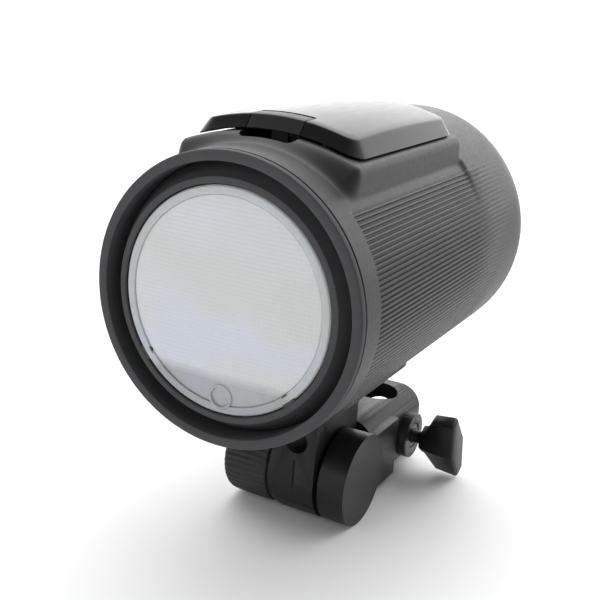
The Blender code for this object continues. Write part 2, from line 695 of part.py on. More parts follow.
def hinge_hardware(arm_pivot, washer_pivot, knob_pivot, looks):
    hinge = (HINGE_Y, -HINGE_DROP)
    stud = cylinder(STUD_RADIUS, "X", -24 * MM, 14.6 * MM, hinge, 28, 0.5 * MM)
    add("pivot_stud", stud, arm_pivot, looks["steel"])
    bore = STUD_RADIUS + GAP
    disc = tube(bore, 12.5 * MM, "X", LUG_HALF_WIDTH + GAP, DISC_INNER - GAP, hinge)
    add("friction_disc", disc, arm_pivot, looks["fibre"])
    washer = tube(bore, 14.1 * MM, "X", -KNOB_INNER + GAP, -LUG_HALF_WIDTH - GAP, hinge, 48)
    add("tilt_washer", washer, washer_pivot, looks["satin"])
    bush = tube(bore, 6.5 * MM, "X", -23 * MM, -KNOB_INNER - 0.2 * MM, hinge, 28)
    add("knob_insert", bush, knob_pivot, looks["brass"])


def tilt_knob(pivot, look):
    """A round knob with 32 grip ribs, slightly narrower and rounded at its outer end."""
    sides = 64
    rings = []
    for radius, rib, x in ((14.4, 0, 10.5), (14.8, 0.35, 11.2), (14.5, 0.35, 25.0), (13.9, 0.2, 26.2), (13.0, 0, 26.8)):
        ring = []
        for k in range(sides):
            angle = math.tau * k / sides
            size = (radius - (rib if k % 2 else 0)) * MM
            ring.append(
                Vector((-x * MM, HINGE_Y + size * math.cos(angle), -HINGE_DROP + size * math.sin(angle)))
            )
        rings.append(ring)
    knob = add("tilt_knob", lofted(rings), pivot, look)
    hinge = (HINGE_Y, -HINGE_DROP)
    cut(knob, cylinder(6.5 * MM + GAP, "X", -24.6 * MM, -5 * MM, hinge, 28), pivot, "bore")


def socket_clamp(arm_pivot, pad_pivot, screw_pivot, looks):
    axis = (SOCKET_Y, -SOCKET_DROP)
    bush = tube(SCREW_RADIUS + GAP, 4.2 * MM, "X", 9.6 * MM, BOSS_END - 0.2 * MM, axis, 28)
    add("clamp_bush", bush, arm_pivot, looks["black_steel"])
    pad = cylinder(2.2 * MM, "X", 8.4 * MM, 9.6 * MM, axis, 24, 0.3 * MM)
    add("clamp_pad", pad, pad_pivot, looks["brass"])
    shaft = cylinder(SCREW_RADIUS, "X", 9.9 * MM, 27 * MM, axis, 24, 0.4 * MM)
    add("clamp_screw", shaft, screw_pivot, looks["black_steel"])

    def section(x, half_length, half_width, tip):
        corners = ((half_length, tip), (0, half_width), (-half_length, tip))
        corners += tuple((-s, -t) for s, t in corners)
        ring = []
        for s, t in corners:
            y = s * math.sin(-WING_TILT) + t * math.cos(WING_TILT)
            z = -s * math.cos(WING_TILT) + t * math.sin(-WING_TILT)
            ring.append(Vector((x * MM, SOCKET_Y + y * MM, -SOCKET_DROP + z * MM)))
        return ring

    wing_length = WING_HALF_LENGTH / MM
    inner, outer = WING_INNER / MM, WING_OUTER / MM
    rings = [
        section(inner - 2.4, 4.2, 4.6, 2.6),
        section(inner - 0.6, 4.6, 5.0, 2.8),
        section(inner + 2.8, wing_length - 1.2, 5.6, 2.6),
        section(outer - 0.7, wing_length, 5.9, 2.6),
        section(outer, wing_length - 0.7, 5.3, 2.1),
    ]
    knob = add("clamp_knob", lofted(rings), screw_pivot, looks["satin"])
    cut(knob, cylinder(SCREW_RADIUS + GAP, "X", 15 * MM, 27.3 * MM, axis, 24), screw_pivot, "bore")


def build():
    clear_scene()
    looks = {
        "casing": material("casing", CHARCOAL, 0.55),
        "dark": material("dark_plastic", DARK, 0.6),
        "satin": material("satin_black", DARK, 0.42),
        "gloss": material("gloss_black", BLACK, 0.18),
        "clear": material("frosted_glass", CLEAR, 0.35),
        "mirror": material("reflector_metal", STEEL, 0.12, 1.0),
        "ceramic": material("ceramic", (0.8, 0.79, 0.75), 0.5),
        "steel": material("steel", STEEL, 0.3, 1.0),
        "black_steel": material("black_steel", BLACKENED, 0.4, 1.0),
        "brass": material("brass", BRASS, 0.3, 1.0),
        "board": material("circuit_board", BOARD_GREEN, 0.5),
        "ferrite": material("ferrite", (0.08, 0.07, 0.07), 0.7),
        "sleeve": material("shrink_sleeve", (0.05, 0.07, 0.12), 0.35),
        "fibre": material("friction_fibre", (0.12, 0.09, 0.07), 0.85),
    }
    head = Pivot("head")
    hinge_place = (0, HINGE_Y, -HINGE_DROP)
    socket_place = (0, SOCKET_Y, -SOCKET_DROP)
    arm = Pivot("tilt_axis", hinge_place, head)
    washer = Pivot("tilt_washer_axis", hinge_place, arm)
    knob = Pivot("tilt_knob_axis", hinge_place, washer)
    pad = Pivot("clamp_pad_axis", socket_place, arm)
    screw = Pivot("clamp_screw_axis", socket_place, pad)
    battery = Pivot("battery_axis", (0, (BATTERY_FRONT + BATTERY_BACK) / 2, COLLAR_CREST), head)
    release = Pivot("release_button_axis", (0, BATTERY_FRONT, COLLAR_CREST), battery)

    main_casing(head, looks["casing"])
    front_rim(head, looks["satin"])
    front_optics(head, looks)
    reflector(head, looks["mirror"])
    flash_tube(head, looks["clear"])
    lamp_module(head, looks)
    electronics(head, looks)
    battery_bay(head, looks)
    battery_pack(battery, release, looks)
    control_panel(head, looks)
    for name, radius, stem, rise in (
        ("dial_button", 3.9 * MM, 2.0 * MM, 2.9 * MM),
        ("power_button", 3.2 * MM, 3.2 * MM, 0.9 * MM),
        ("light_button", 3.2 * MM, 3.2 * MM, 0.9 * MM),
    ):
        x, z = panel_places()["dial" if name == "dial_button" else name]
        axis = Pivot(name + "_axis", (x, PANEL_FACE, z), head)
        push_button(name, axis, radius, stem, PANEL_FACE + rise, looks["satin"])
    x, z = panel_places()["dial"]
    control_dial(Pivot("control_dial_axis", (x, PANEL_FACE, z), head), looks["satin"])
    head_bracket(head, looks["satin"])
    saddle_screws(head, looks["steel"])
    stand_arm(arm, looks["satin"])
    hinge_hardware(arm, washer, knob, looks)
    tilt_knob(knob, looks["dark"])
    socket_clamp(arm, pad, screw, looks)


build()
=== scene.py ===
"""Looks for the battery monolight strobe: fine surfaces, materials, light and the camera.

Shapes are drawn in millimetres in head coordinates: the origin is the middle of the front rim,
x to the right, y towards the back, z up from the flash axis.
"""

import json
import math

import bmesh
import bpy
from mathutils import Matrix, Vector

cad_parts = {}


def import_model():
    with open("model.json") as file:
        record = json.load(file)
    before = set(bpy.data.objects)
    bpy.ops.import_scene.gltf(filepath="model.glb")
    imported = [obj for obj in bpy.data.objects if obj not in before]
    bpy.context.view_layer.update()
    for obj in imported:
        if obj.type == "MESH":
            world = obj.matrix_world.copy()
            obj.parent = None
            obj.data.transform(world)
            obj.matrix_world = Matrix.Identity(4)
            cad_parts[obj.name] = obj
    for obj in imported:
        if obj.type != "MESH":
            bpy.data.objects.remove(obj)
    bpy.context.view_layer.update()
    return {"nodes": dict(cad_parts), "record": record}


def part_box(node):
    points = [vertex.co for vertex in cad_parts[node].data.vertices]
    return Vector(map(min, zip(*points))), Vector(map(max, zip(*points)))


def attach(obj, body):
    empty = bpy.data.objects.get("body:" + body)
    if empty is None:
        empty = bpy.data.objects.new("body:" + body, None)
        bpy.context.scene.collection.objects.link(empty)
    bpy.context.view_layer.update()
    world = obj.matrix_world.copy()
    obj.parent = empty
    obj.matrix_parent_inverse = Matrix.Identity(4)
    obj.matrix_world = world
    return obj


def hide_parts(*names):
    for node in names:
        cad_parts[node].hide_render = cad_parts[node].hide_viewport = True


MM = 0.001
GAP = 0.3

# Head casing
HEAD_RADIUS = 40.0
HEAD_LENGTH = 141.0
CASING_FRONT = 2.5
RIM_SEAT_RADIUS = 38.7
RIM_SEAT_DEPTH = 10.5
CASING_BORE = 37.4
SHOULDER_LENGTH = 15.0
SHOULDER_DROP = 7.5
SHOULDER_START = HEAD_LENGTH - SHOULDER_LENGTH
PANEL_RADIUS = 29.6
PANEL_FACE = HEAD_LENGTH - 3.7
PANEL_SEAT = 134.0

# Grip ribs round the casing
RIB_COUNT = 180
RIB_STEPS = 5
RIB_DEPTH = 0.5
RIB_START = 11.2
RIB_FADE = (80.0, 125.0)

# Raised deck and battery
DECK_ARC = 70.0
COLLAR_CREST = 42.5
REAR_RISE = 2.4
REAR_FALL = 1.5
BATTERY_FRONT = 20.8
BATTERY_BACK = 92.0
BATTERY_HALF_WIDTH = 25.2
DECK_RAMP = (12.8, 19.4)
DECK_STEP = (BATTERY_BACK, BATTERY_BACK + 3.0)
DECK_EDGE_SIDE = (34.5, 44.0)
DECK_EDGE_REAR = (12.0, 70.0)
COVER_CREST = 46.6
COVER_CROWN = 0.9
COVER_DRAFT = 2.5
COVER_CORNER = 5.6
BAY_HALF_WIDTH = 23.5
BAY_FRONT = 21.6
BAY_BACK = 91.7
BAY_CORNER = 5.0
BUTTON_HALF_WIDTH = 8.0
BUTTON_BACK = 28.4
BUTTON_TRAVEL = 1.2
RECESS_FLOOR = 39.7

# Front optics
BEZEL_RADIUS = 33.2
GLASS_RADIUS = 30.9
GROOVE_RADIUS = 37.0
LED_DROP = 25.3
CLEAR_CHORD = (-22.2, -19.0)
GLASS_BAND = 28.4
LATTICE_PITCH = 1.15
WINDOW_X = 0.6
WINDOW_DROP = 26.0
WINDOW_RADIUS = 3.5

# Stand adapter
HINGE_Y = 65.2
HINGE_DROP = 72.0
HINGE_RADIUS = 15.2
SOCKET_RADIUS = 8.1
UMBRELLA_RADIUS = 4.0
UMBRELLA_DROP = 57.6
LUG_HALF_WIDTH = 7.0
DISC_INNER = 8.6
DISC_OUTER = 17.6
KNOB_INNER = 10.5
STUD_RADIUS = 4.0
SOCKET_Y = 111.5
SOCKET_DROP = 73.7
BLOCK_HALF_WIDTH = 13.0
BLOCK_HALF_HEIGHT = 13.5
BLOCK_FRONT = 82.0
SOCKET_END = 86.0
BLOCK_BACK = 124.0
BLOCK_CORNER = 8.0
BOSS_RADIUS = 8.0
BOSS_END = 16.5
SCREW_RADIUS = 2.4
WING_INNER = 22.4
WING_OUTER = 33.5
WING_HALF_LENGTH = 13.1
WING_TILT = math.radians(-27)

# Camera and light
CAMERA_PLACE = Vector((0.1367, -0.2982, 0.1731))
CAMERA_AZIMUTH = math.radians(26.64)
CAMERA_ELEVATION = math.radians(17.41)
CAMERA_ROLL = math.radians(4.57)
CAMERA_LENS = 64.72
BRIGHT_SIDE = (-0.15, 0.85, 0.45)
ROOM_DIM = 0.25
ROOM_BRIGHT = 2.6


# Materials


class Look:
    """A Principled material with short names for the nodes that its surface detail needs."""

    def __init__(self, name, colour, roughness, metallic=0.0):
        self.material = bpy.data.materials.new(name)
        self.material.use_nodes = True
        self.tree = self.material.node_tree
        self.shader = self.tree.nodes["Principled BSDF"]
        self.shader.inputs["Base Color"].default_value = (*colour, 1)
        self.shader.inputs["Roughness"].default_value = roughness
        self.shader.inputs["Metallic"].default_value = metallic
        self.place = self.tree.nodes.new("ShaderNodeTexCoord").outputs["Object"]
        self.height = None

    def link(self, output, node, socket):
        self.tree.links.new(output, node.inputs[socket])

    def noise(self, scale, detail=3.0, stretch=(1, 1, 1)):
        squash = self.tree.nodes.new("ShaderNodeMapping")
        squash.inputs["Scale"].default_value = stretch
        self.link(self.place, squash, "Vector")
        texture = self.tree.nodes.new("ShaderNodeTexNoise")
        texture.inputs["Scale"].default_value = scale
        texture.inputs["Detail"].default_value = detail
        self.link(squash.outputs["Vector"], texture, "Vector")
        return texture.outputs["Fac"]

    def maths(self, operation, first, second=None):
        node = self.tree.nodes.new("ShaderNodeMath")
        node.operation = operation
        for socket, value in zip(node.inputs, (first, second)):
            if isinstance(value, (int, float)):
                socket.default_value = value
            elif value is not None:
                self.tree.links.new(value, socket)
        return node.outputs[0]

    def ramp(self, value, stops):
        ramp = self.tree.nodes.new("ShaderNodeValToRGB")
        elements = ramp.color_ramp.elements
        while len(elements) < len(stops):
            elements.new(0.5)
        for element, (place, colour) in zip(elements, stops):
            element.position = place
            element.color = (*colour, 1)
        self.link(value, ramp, "Fac")
        return ramp.outputs["Color"]

    def spread(self, value, low, high, start=0.3, end=0.7):
        spread = self.tree.nodes.new("ShaderNodeMapRange")
        for socket, number in (("From Min", start), ("From Max", end), ("To Min", low), ("To Max", high)):
            spread.inputs[socket].default_value = number
        self.link(value, spread, "Value")
        return spread.outputs["Result"]

    def colour_from(self, value, stops):
        self.link(self.ramp(value, stops), self.shader, "Base Color")

    def roughness_from(self, value, low, high):
        self.link(self.spread(value, low, high), self.shader, "Roughness")

    def bump(self, value, distance, strength=1.0):
        bump = self.tree.nodes.new("ShaderNodeBump")
        bump.inputs["Distance"].default_value = distance * MM
        bump.inputs["Strength"].default_value = strength
        self.link(value, bump, "Height")
        if self.height:
            self.link(self.height, bump, "Normal")
        self.height = bump.outputs["Normal"]
        self.link(self.height, self.shader, "Normal")


def shades(colour, darker=0.8, lighter=1.25):
    return [(0.3, [c * darker for c in colour]), (0.7, [c * lighter for c in colour])]


def moulded_plastic(name, colour, roughness, grain=0.02, grain_scale=4200):
    """Injection-moulded plastic: a fine etched grain, faint flow shading and uneven gloss."""
    look = Look(name, colour, roughness)
    look.colour_from(look.noise(38, 4), shades(colour, 0.93, 1.08))
    look.roughness_from(look.noise(900, 3), roughness - 0.04, roughness + 0.05)
    look.bump(look.noise(grain_scale, 2), grain, 0.6)
    look.shader.inputs["Specular IOR Level"].default_value = 0.24
    return look.material


def gloss_plastic(name, colour):
    """Polished black plastic with a thin clear coat and fine handling marks."""
    look = Look(name, colour, 0.2)
    look.colour_from(look.noise(30, 3), shades(colour, 0.9, 1.15))
    look.roughness_from(look.noise(1600, 4, (1, 0.08, 1)), 0.19, 0.25)
    look.bump(look.noise(60, 2), 0.01, 0.2)
    look.shader.inputs["Specular IOR Level"].default_value = 0.16
    look.shader.inputs["Coat Weight"].default_value = 0.08
    look.shader.inputs["Coat Roughness"].default_value = 0.16
    return look.material


def turned_metal(name, colour, roughness):
    look = Look(name, colour, roughness, 1.0)
    look.colour_from(look.noise(60, 3), shades(colour, 0.9, 1.08))
    look.roughness_from(look.noise(900, 3, (0.05, 1, 1)), roughness - 0.08, roughness + 0.12)
    look.bump(look.noise(2600, 2, (0.04, 1, 1)), 0.01, 0.4)
    return look.material


def mottled(name, colour, roughness, scale, distance):
    look = Look(name, colour, roughness)
    look.colour_from(look.noise(scale, 5), shades(colour, 0.6, 1.4))
    look.roughness_from(look.noise(scale * 2, 3), roughness - 0.08, roughness + 0.08)
    look.bump(look.noise(scale * 4, 3), distance, 0.6)
    return look.material


def frosted_glass(origin):
    """Milky front glass with a fine square lattice moulded in its back. It is thinner below a chord,
    where the modelling lamp shows through, and in a band round its edge."""
    look = Look("frosted_glass_look", (0.62, 0.64, 0.65), 0.32)
    split = look.tree.nodes.new("ShaderNodeSeparateXYZ")
    look.link(look.place, split, "Vector")
    waves = []
    for axis in "XZ":
        phase = look.maths("MULTIPLY", split.outputs[axis], math.tau / (LATTICE_PITCH * MM))
        waves.append(look.maths("SINE", phase))
    lattice = look.maths("ADD", *waves)
    cloud = look.noise(34, 1, (1, 1, 1.6))
    look.colour_from(
        cloud, [(0.36, (0.57, 0.585, 0.575)), (0.52, (0.585, 0.605, 0.625)), (0.66, (0.58, 0.61, 0.69))]
    )
    look.bump(lattice, 0.03, 0.6)
    look.roughness_from(look.noise(140, 3), 0.28, 0.38)
    height = look.maths("SUBTRACT", split.outputs["Z"], origin.z)
    flat = look.tree.nodes.new("ShaderNodeCombineXYZ")
    look.link(split.outputs["X"], flat, "X")
    look.link(height, flat, "Z")
    length = look.tree.nodes.new("ShaderNodeVectorMath")
    length.operation = "LENGTH"
    look.link(flat.outputs["Vector"], length, 0)
    rim = look.spread(length.outputs["Value"], 0, 0.22, GLASS_BAND * MM, (GLASS_BAND + 0.3) * MM)
    lower = look.spread(height, 0.42, 0, CLEAR_CHORD[0] * MM, CLEAR_CHORD[1] * MM)
    clear = look.maths("MAXIMUM", rim, lower)
    look.link(look.maths("SUBTRACT", 0.97, clear), look.shader, "Alpha")
    look.shader.inputs["Coat Weight"].default_value = 0.4
    look.shader.inputs["Coat Roughness"].default_value = 0.15
    return look


def make_materials(origin):
    return {
        "casing": moulded_plastic("casing_look", (0.021, 0.0214, 0.0226), 0.40),
        "rim": moulded_plastic("rim_rubber_look", (0.050, 0.0505, 0.053), 0.58, 0.035, 2600),
        "dark_plastic": moulded_plastic("dark_plastic_look", (0.026, 0.0265, 0.028), 0.55, 0.03),
        "satin_black": moulded_plastic("satin_black_look", (0.012, 0.0122, 0.013), 0.40),
        "gloss_black": gloss_plastic("gloss_black_look", (0.008, 0.008, 0.009)),
        "frosted_glass": frosted_glass(origin).material,
        "lamp": mottled("lamp_look", (0.85, 0.62, 0.36), 0.3, 300, 0.02),
        "lamp_collar": turned_metal("lamp_collar_look", (0.9, 0.9, 0.9), 0.22),
        "reflector_metal": turned_metal("reflector_look", (0.80, 0.81, 0.82), 0.25),
        "ceramic": mottled("ceramic_look", (0.62, 0.60, 0.55), 0.55, 300, 0.02),
        "steel": turned_metal("steel_look", (0.36, 0.36, 0.37), 0.34),
        "black_steel": turned_metal("black_steel_look", (0.035, 0.035, 0.038), 0.36),
        "brass": turned_metal("brass_look", (0.56, 0.40, 0.16), 0.32),
        "circuit_board": mottled("circuit_board_look", (0.02, 0.11, 0.05), 0.4, 420, 0.03),
        "white_board": mottled("white_board_look", (0.72, 0.72, 0.70), 0.4, 420, 0.02),
        "ferrite": mottled("ferrite_look", (0.04, 0.038, 0.037), 0.7, 900, 0.04),
        "shrink_sleeve": gloss_plastic("shrink_sleeve_look", (0.03, 0.045, 0.09)),
        "friction_fibre": mottled("friction_fibre_look", (0.10, 0.07, 0.05), 0.85, 700, 0.08),
    }


# Mesh helpers


def head_origin():
    """The middle of the front rim's face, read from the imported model."""
    low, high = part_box("front_rim")
    return Vector(((low.x + high.x) / 2, low.y, (low.z + high.z) / 2))


class Studio:
    """Where pieces are made: it knows the frame's materials and where head coordinates start."""

    def __init__(self):
        self.origin = head_origin()
        self.looks = make_materials(self.origin)

    def to_frame(self, shape):
        shape.transform(Matrix.Translation(self.origin) @ Matrix.Scale(MM, 4))

    def mesh_object(self, name, shape):
        self.to_frame(shape)
        mesh = bpy.data.meshes.new(name)
        shape.to_mesh(mesh)
        shape.free()
        piece = bpy.data.objects.new(name, mesh)
        bpy.context.collection.objects.link(piece)
        return piece

    def piece(self, name, shape, body, nodes, look, slot, tools=(), bevel=0.0, smooth=32, subdivide=0):
        """Make a finished piece. tools holds (operation, shape) pairs that are applied before the bevel."""
        made = self.mesh_object(name, shape)
        helpers = []
        for operation, other in tools:
            helper = self.mesh_object(name + "_tool", other)
            helpers.append(helper)
            modifier = made.modifiers.new(operation, "BOOLEAN")
            modifier.operation = operation
            modifier.object = helper
        if bevel:
            modifier = made.modifiers.new("bevel", "BEVEL")
            modifier.width = bevel * MM
            modifier.segments = 2
            modifier.limit_method = "ANGLE"
            modifier.angle_limit = math.radians(38)
            modifier.harden_normals = True
        if subdivide:
            modifier = made.modifiers.new("subdivide", "SUBSURF")
            modifier.levels = modifier.render_levels = subdivide
        if made.modifiers:
            scene_graph = bpy.context.evaluated_depsgraph_get()
            mesh = bpy.data.meshes.new_from_object(made.evaluated_get(scene_graph))
            made.modifiers.clear()
            made.data = mesh
        for helper in helpers:
            bpy.data.objects.remove(helper, do_unlink=True)
        made.data.shade_smooth()
        made.data.set_sharp_from_angle(angle=math.radians(smooth))
        made.data.materials.clear()
        made.data.materials.append(self.looks[look])
        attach(made, body)
        if nodes:
            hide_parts(*nodes)
        return made


def across(axis, u, v, w):
    """A point with w along the named axis, and u and v across it in X, Y, Z order."""
    return {"X": Vector((w, u, v)), "Y": Vector((u, w, v)), "Z": Vector((u, v, w))}[axis]


def lofted(rings, hollow=False):
    """Skin through rings of points. The ends are capped, or, when hollow, the last ring meets the first."""
    shape = bmesh.new()
    rows = [[shape.verts.new(point) for point in ring] for ring in rings]
    pairs = list(zip(rows, rows[1:]))
    if hollow:
        pairs.append((rows[-1], rows[0]))
    else:
        shape.faces.new(rows[0])
        shape.faces.new(rows[-1])
    for one, two in pairs:
        for i in range(len(one)):
            j = (i + 1) % len(one)
            shape.faces.new((one[i], one[j], two[j], two[i]))
    bmesh.ops.recalc_face_normals(shape, faces=shape.faces)
    return shape


def turned(profile, axis, centre=(0, 0), sides=128, hollow=False):
    rings = []
    for radius, along in profile:
        ring = []
        for k in range(sides):
            angle = math.tau * k / sides
            u = centre[0] + radius * math.cos(angle)
            v = centre[1] + radius * math.sin(angle)
            ring.append(across(axis, u, v, along))
        rings.append(ring)
    return lofted(rings, hollow)


def cylinder(radius, axis, start, end, centre=(0, 0), sides=96):
    return turned([(radius, start), (radius, end)], axis, centre, sides)


def tube(inner, outer, axis, start, end, centre=(0, 0), sides=128):
    profile = [(outer, start), (outer, end), (inner, end), (inner, start)]
    return turned(profile, axis, centre, sides, hollow=True)


def block(low, high):
    shape = bmesh.new()
    bmesh.ops.create_cube(shape, size=1)
    for corner in shape.verts:
        corner.co = Vector(l + (c + 0.5) * (h - l) for l, c, h in zip(low, corner.co, high))
    return shape


def rounded_rectangle(half_u, half_v, radius, centre=(0, 0), steps=12):
    points = []
    for quarter, (su, sv) in enumerate(((1, 1), (-1, 1), (-1, -1), (1, -1))):
        for k in range(steps + 1):
            angle = math.pi / 2 * (quarter + k / steps)
            u = centre[0] + su * (half_u - radius) + radius * math.cos(angle)
            v = centre[1] + sv * (half_v - radius) + radius * math.sin(angle)
            points.append((u, v))
    return points


def prism(outline, axis, start, end):
    return lofted([[across(axis, u, v, w) for u, v in outline] for w in (start, end)])


def blend(value, start, end):
    """0 before start, 1 after end, and a smooth rise between."""
    part = min(max((value - start) / (end - start), 0), 1)
    return part * part * (3 - 2 * part)


# Head casing


def shoulder(y):
    part = min(max((y - SHOULDER_START) / SHOULDER_LENGTH, 0), 1)
    left = math.sqrt(1 - part * part)
    return SHOULDER_DROP * (1 - left), left


def casing_radius(angle, y):
    """Outer radius at an angle from straight up: a cylinder with a raised deck along its top."""
    turn = abs(math.degrees(angle))
    drop, left = shoulder(y)
    low = COLLAR_CREST - DECK_ARC
    arc = low * math.cos(angle) + math.sqrt(DECK_ARC**2 - (low * math.sin(angle)) ** 2)
    beside = (arc - HEAD_RADIUS) * (1 - blend(turn, *DECK_EDGE_SIDE))
    fall = REAR_FALL * (max(y - BATTERY_BACK, 0) / (HEAD_LENGTH - BATTERY_BACK)) ** 1.5
    behind = (REAR_RISE * left - fall) * (1 - blend(turn, *DECK_EDGE_REAR))
    raised = beside + blend(y, *DECK_STEP) * (behind - beside)
    return HEAD_RADIUS + blend(y, *DECK_RAMP) * raised - drop


def rib_depth(angle, y, step):
    """How far the surface sinks between two grip ribs."""
    if y < RIB_START:
        return 0
    turn = abs(math.degrees(angle))
    share = (1 - blend(y, *RIB_FADE)) * blend(turn, 45, 50) * (1 - blend(turn, 150, 166))
    return RIB_DEPTH * share * (step in (2, 3))


def casing_places():
    places = [CASING_FRONT, CASING_FRONT + 0.35, 4, 7, 10.4, RIB_START - 0.05, RIB_START + 0.15]
    places += [RIB_START + 0.8 * k for k in range(1, 13)]
    y = places[-1]
    while y < BATTERY_BACK - 4:
        y += 4
        places.append(y)
    places += [BATTERY_BACK + 0.5 * k for k in range(-1, 8)]
    places += [BATTERY_BACK + 6 + 4 * k for k in range(0, 7)]
    steps = 16
    for step in range(steps + 1):
        places.append(SHOULDER_START + SHOULDER_LENGTH * math.sin(math.pi / 2 * step / steps))
    return places


def casing(studio):
    columns = RIB_COUNT * RIB_STEPS
    angles = [math.tau * k / columns for k in range(columns)]
    angles = [a if a <= math.pi else a - math.tau for a in angles]
    rings = []
    for y in casing_places():
        inset = 0.35 * (1 - blend(y, CASING_FRONT, CASING_FRONT + 0.35))
        ring = []
        for k, angle in enumerate(angles):
            radius = casing_radius(angle, y) - rib_depth(angle, y, k % RIB_STEPS) - inset
            ring.append(Vector((radius * math.sin(angle), y, radius * math.cos(angle))))
        rings.append(ring)
    opening = PANEL_RADIUS + GAP
    inside = [(opening + 0.25, HEAD_LENGTH), (opening, HEAD_LENGTH - 0.25), (opening, PANEL_SEAT)]
    inside += [(CASING_BORE - 3, PANEL_SEAT), (CASING_BORE, SHOULDER_START), (CASING_BORE, RIM_SEAT_DEPTH)]
    inside += [(RIM_SEAT_RADIUS, RIM_SEAT_DEPTH), (RIM_SEAT_RADIUS, CASING_FRONT)]
    for radius, y in inside:
        rings.append([Vector((radius * math.sin(a), y, radius * math.cos(a))) for a in angles])
    half_length, middle = (BAY_BACK - BAY_FRONT) / 2, (BAY_BACK + BAY_FRONT) / 2
    bay = prism(rounded_rectangle(BAY_HALF_WIDTH, half_length, BAY_CORNER, (0, middle)), "Z", 0, 60)
    recess_outline = rounded_rectangle(BUTTON_HALF_WIDTH + 0.5, 4.2, 2.4, (0, 20.6))
    recess = prism(recess_outline, "Z", RECESS_FLOOR, 60)
    tools = (("DIFFERENCE", bay), ("DIFFERENCE", recess))
    shape = lofted(rings, hollow=True)
    studio.piece("casing_shell", shape, "head", ["main_casing"], "casing", "casing", tools)


def front_rim(studio):
    outer = RIM_SEAT_RADIUS - GAP
    seat = RIM_SEAT_DEPTH - GAP
    profile = [
        (HEAD_RADIUS - 0.9, 0),
        (HEAD_RADIUS - 0.45, 0.12),
        (HEAD_RADIUS - 0.12, 0.45),
        (HEAD_RADIUS, 0.9),
        (HEAD_RADIUS, CASING_FRONT - GAP - 0.2),
        (HEAD_RADIUS - 0.2, CASING_FRONT - GAP),
        (outer, CASING_FRONT - GAP),
        (outer, seat),
        (GROOVE_RADIUS, seat),
        (GROOVE_RADIUS, 0.5),
        (GROOVE_RADIUS + 0.15, 0.15),
        (GROOVE_RADIUS + 0.5, 0),
    ]
    shape = turned(profile, "Y", sides=256, hollow=True)
    studio.piece("rim_ring", shape, "head", ["front_rim"], "rim", "satin_black", smooth=25)


def glass_bezel(studio):
    """The dark ring that holds the glass, with two small steps where the glass is keyed."""
    front, ledge, back = 1.0, 6.0, 8.8
    flange = GROOVE_RADIUS - GAP
    profile = [(BEZEL_RADIUS - 0.6, front), (BEZEL_RADIUS - 0.2, front + 0.15), (BEZEL_RADIUS, front + 0.6)]
    for step in range(1, 4):
        radius = BEZEL_RADIUS + (flange - BEZEL_RADIUS) * step / 4
        y = front + 0.6 + (7 - front - 0.6) * step / 4
        profile += [(radius - 0.1, y - 0.05), (radius + 0.05, y + 0.2)]
    profile += [
        (flange, 7.0),
        (flange, back),
        (GLASS_RADIUS - 1.3, back),
        (GLASS_RADIUS - 1.3, ledge),
        (GLASS_RADIUS + GAP, ledge),
        (GLASS_RADIUS + GAP, front + 0.25),
        (GLASS_RADIUS + GAP + 0.25, front),
    ]
    tools = []
    for angle in (math.radians(-141), math.radians(-47)):
        x, z = (GLASS_RADIUS - 0.4) * math.cos(angle), (GLASS_RADIUS - 0.4) * math.sin(angle)
        key = cylinder(2.1, "Y", front + 0.2, 5.0, (x, z), 24)
        tools.append(("UNION", key))
    shape = turned(profile, "Y", sides=256, hollow=True)
    studio.piece(
        "glass_holder", shape, "head", ["glass_bezel"], "rim", "dark_plastic", tools, smooth=25
    )


def front_glass(studio):
    """A shallow moulded dome with a raised edge band and a round window before the modelling light."""
    dome = [(GLASS_RADIUS * k / 12, 1.9 * (0.45 + 0.35 * (k / 12) ** 2)) for k in range(1, 11)]
    edge = [(GLASS_BAND - 0.25, 1.6), (GLASS_BAND, 1.85), (GLASS_BAND + 0.15, 1.25)]
    edge += [(GLASS_RADIUS - 1.4, 1.1), (GLASS_RADIUS - 0.5, 1.2), (GLASS_RADIUS - 0.1, 1.6), (GLASS_RADIUS, 2.2)]
    rear = [(GLASS_RADIUS, 5.7), (GLASS_RADIUS * 0.5, 5.1)]
    centre = (WINDOW_X, -WINDOW_DROP)
    collar = [(WINDOW_RADIUS, 2.6), (WINDOW_RADIUS, 0.95), (WINDOW_RADIUS - 0.25, 0.75)]
    hollow = [(WINDOW_RADIUS - 0.5, 0), (WINDOW_RADIUS - 0.6, 0.9), (WINDOW_RADIUS - 0.9, 1.5), (0.3, 1.25)]
    tools = [("UNION", turned(collar, "Y", centre, 64)), ("DIFFERENCE", turned(hollow, "Y", centre, 64))]
    shape = turned(dome + edge + rear, "Y", sides=192)
    studio.piece(
        "glass_lens", shape, "head", ["front_glass"], "frosted_glass", "frosted_glass", tools, smooth=30
    )


def modelling_lamp(studio):
    """The modelling light's lens: a bright collar round a warm dome."""
    centre = (0, -LED_DROP)
    collar = [(3.9, 9.2), (3.9, 7.5), (3.7, 7.2), (3.1, 7.1), (2.8, 7.4), (2.6, 7.8)]
    dome = [(2.6 * math.cos(a), 7.8 - 1.0 * math.sin(a)) for a in (0.3, 0.6, 0.9, 1.2, 1.5)]
    shape = turned(collar + dome, "Y", centre, 96)
    lens = studio.piece("lamp_lens", shape, "head", ["modelling_led"], "lamp", "frosted_glass", smooth=50)
    lens.data.materials.append(studio.looks["lamp_collar"])
    middle = studio.origin + Vector((0, 0, -LED_DROP)) * MM
    for face in lens.data.polygons:
        away = Vector((face.center.x - middle.x, face.center.z - middle.z)).length
        face.material_index = int(away > 2.65 * MM)


# Battery


def deck_height(x, crest):
    return crest - DECK_ARC + math.sqrt(DECK_ARC**2 - x * x)


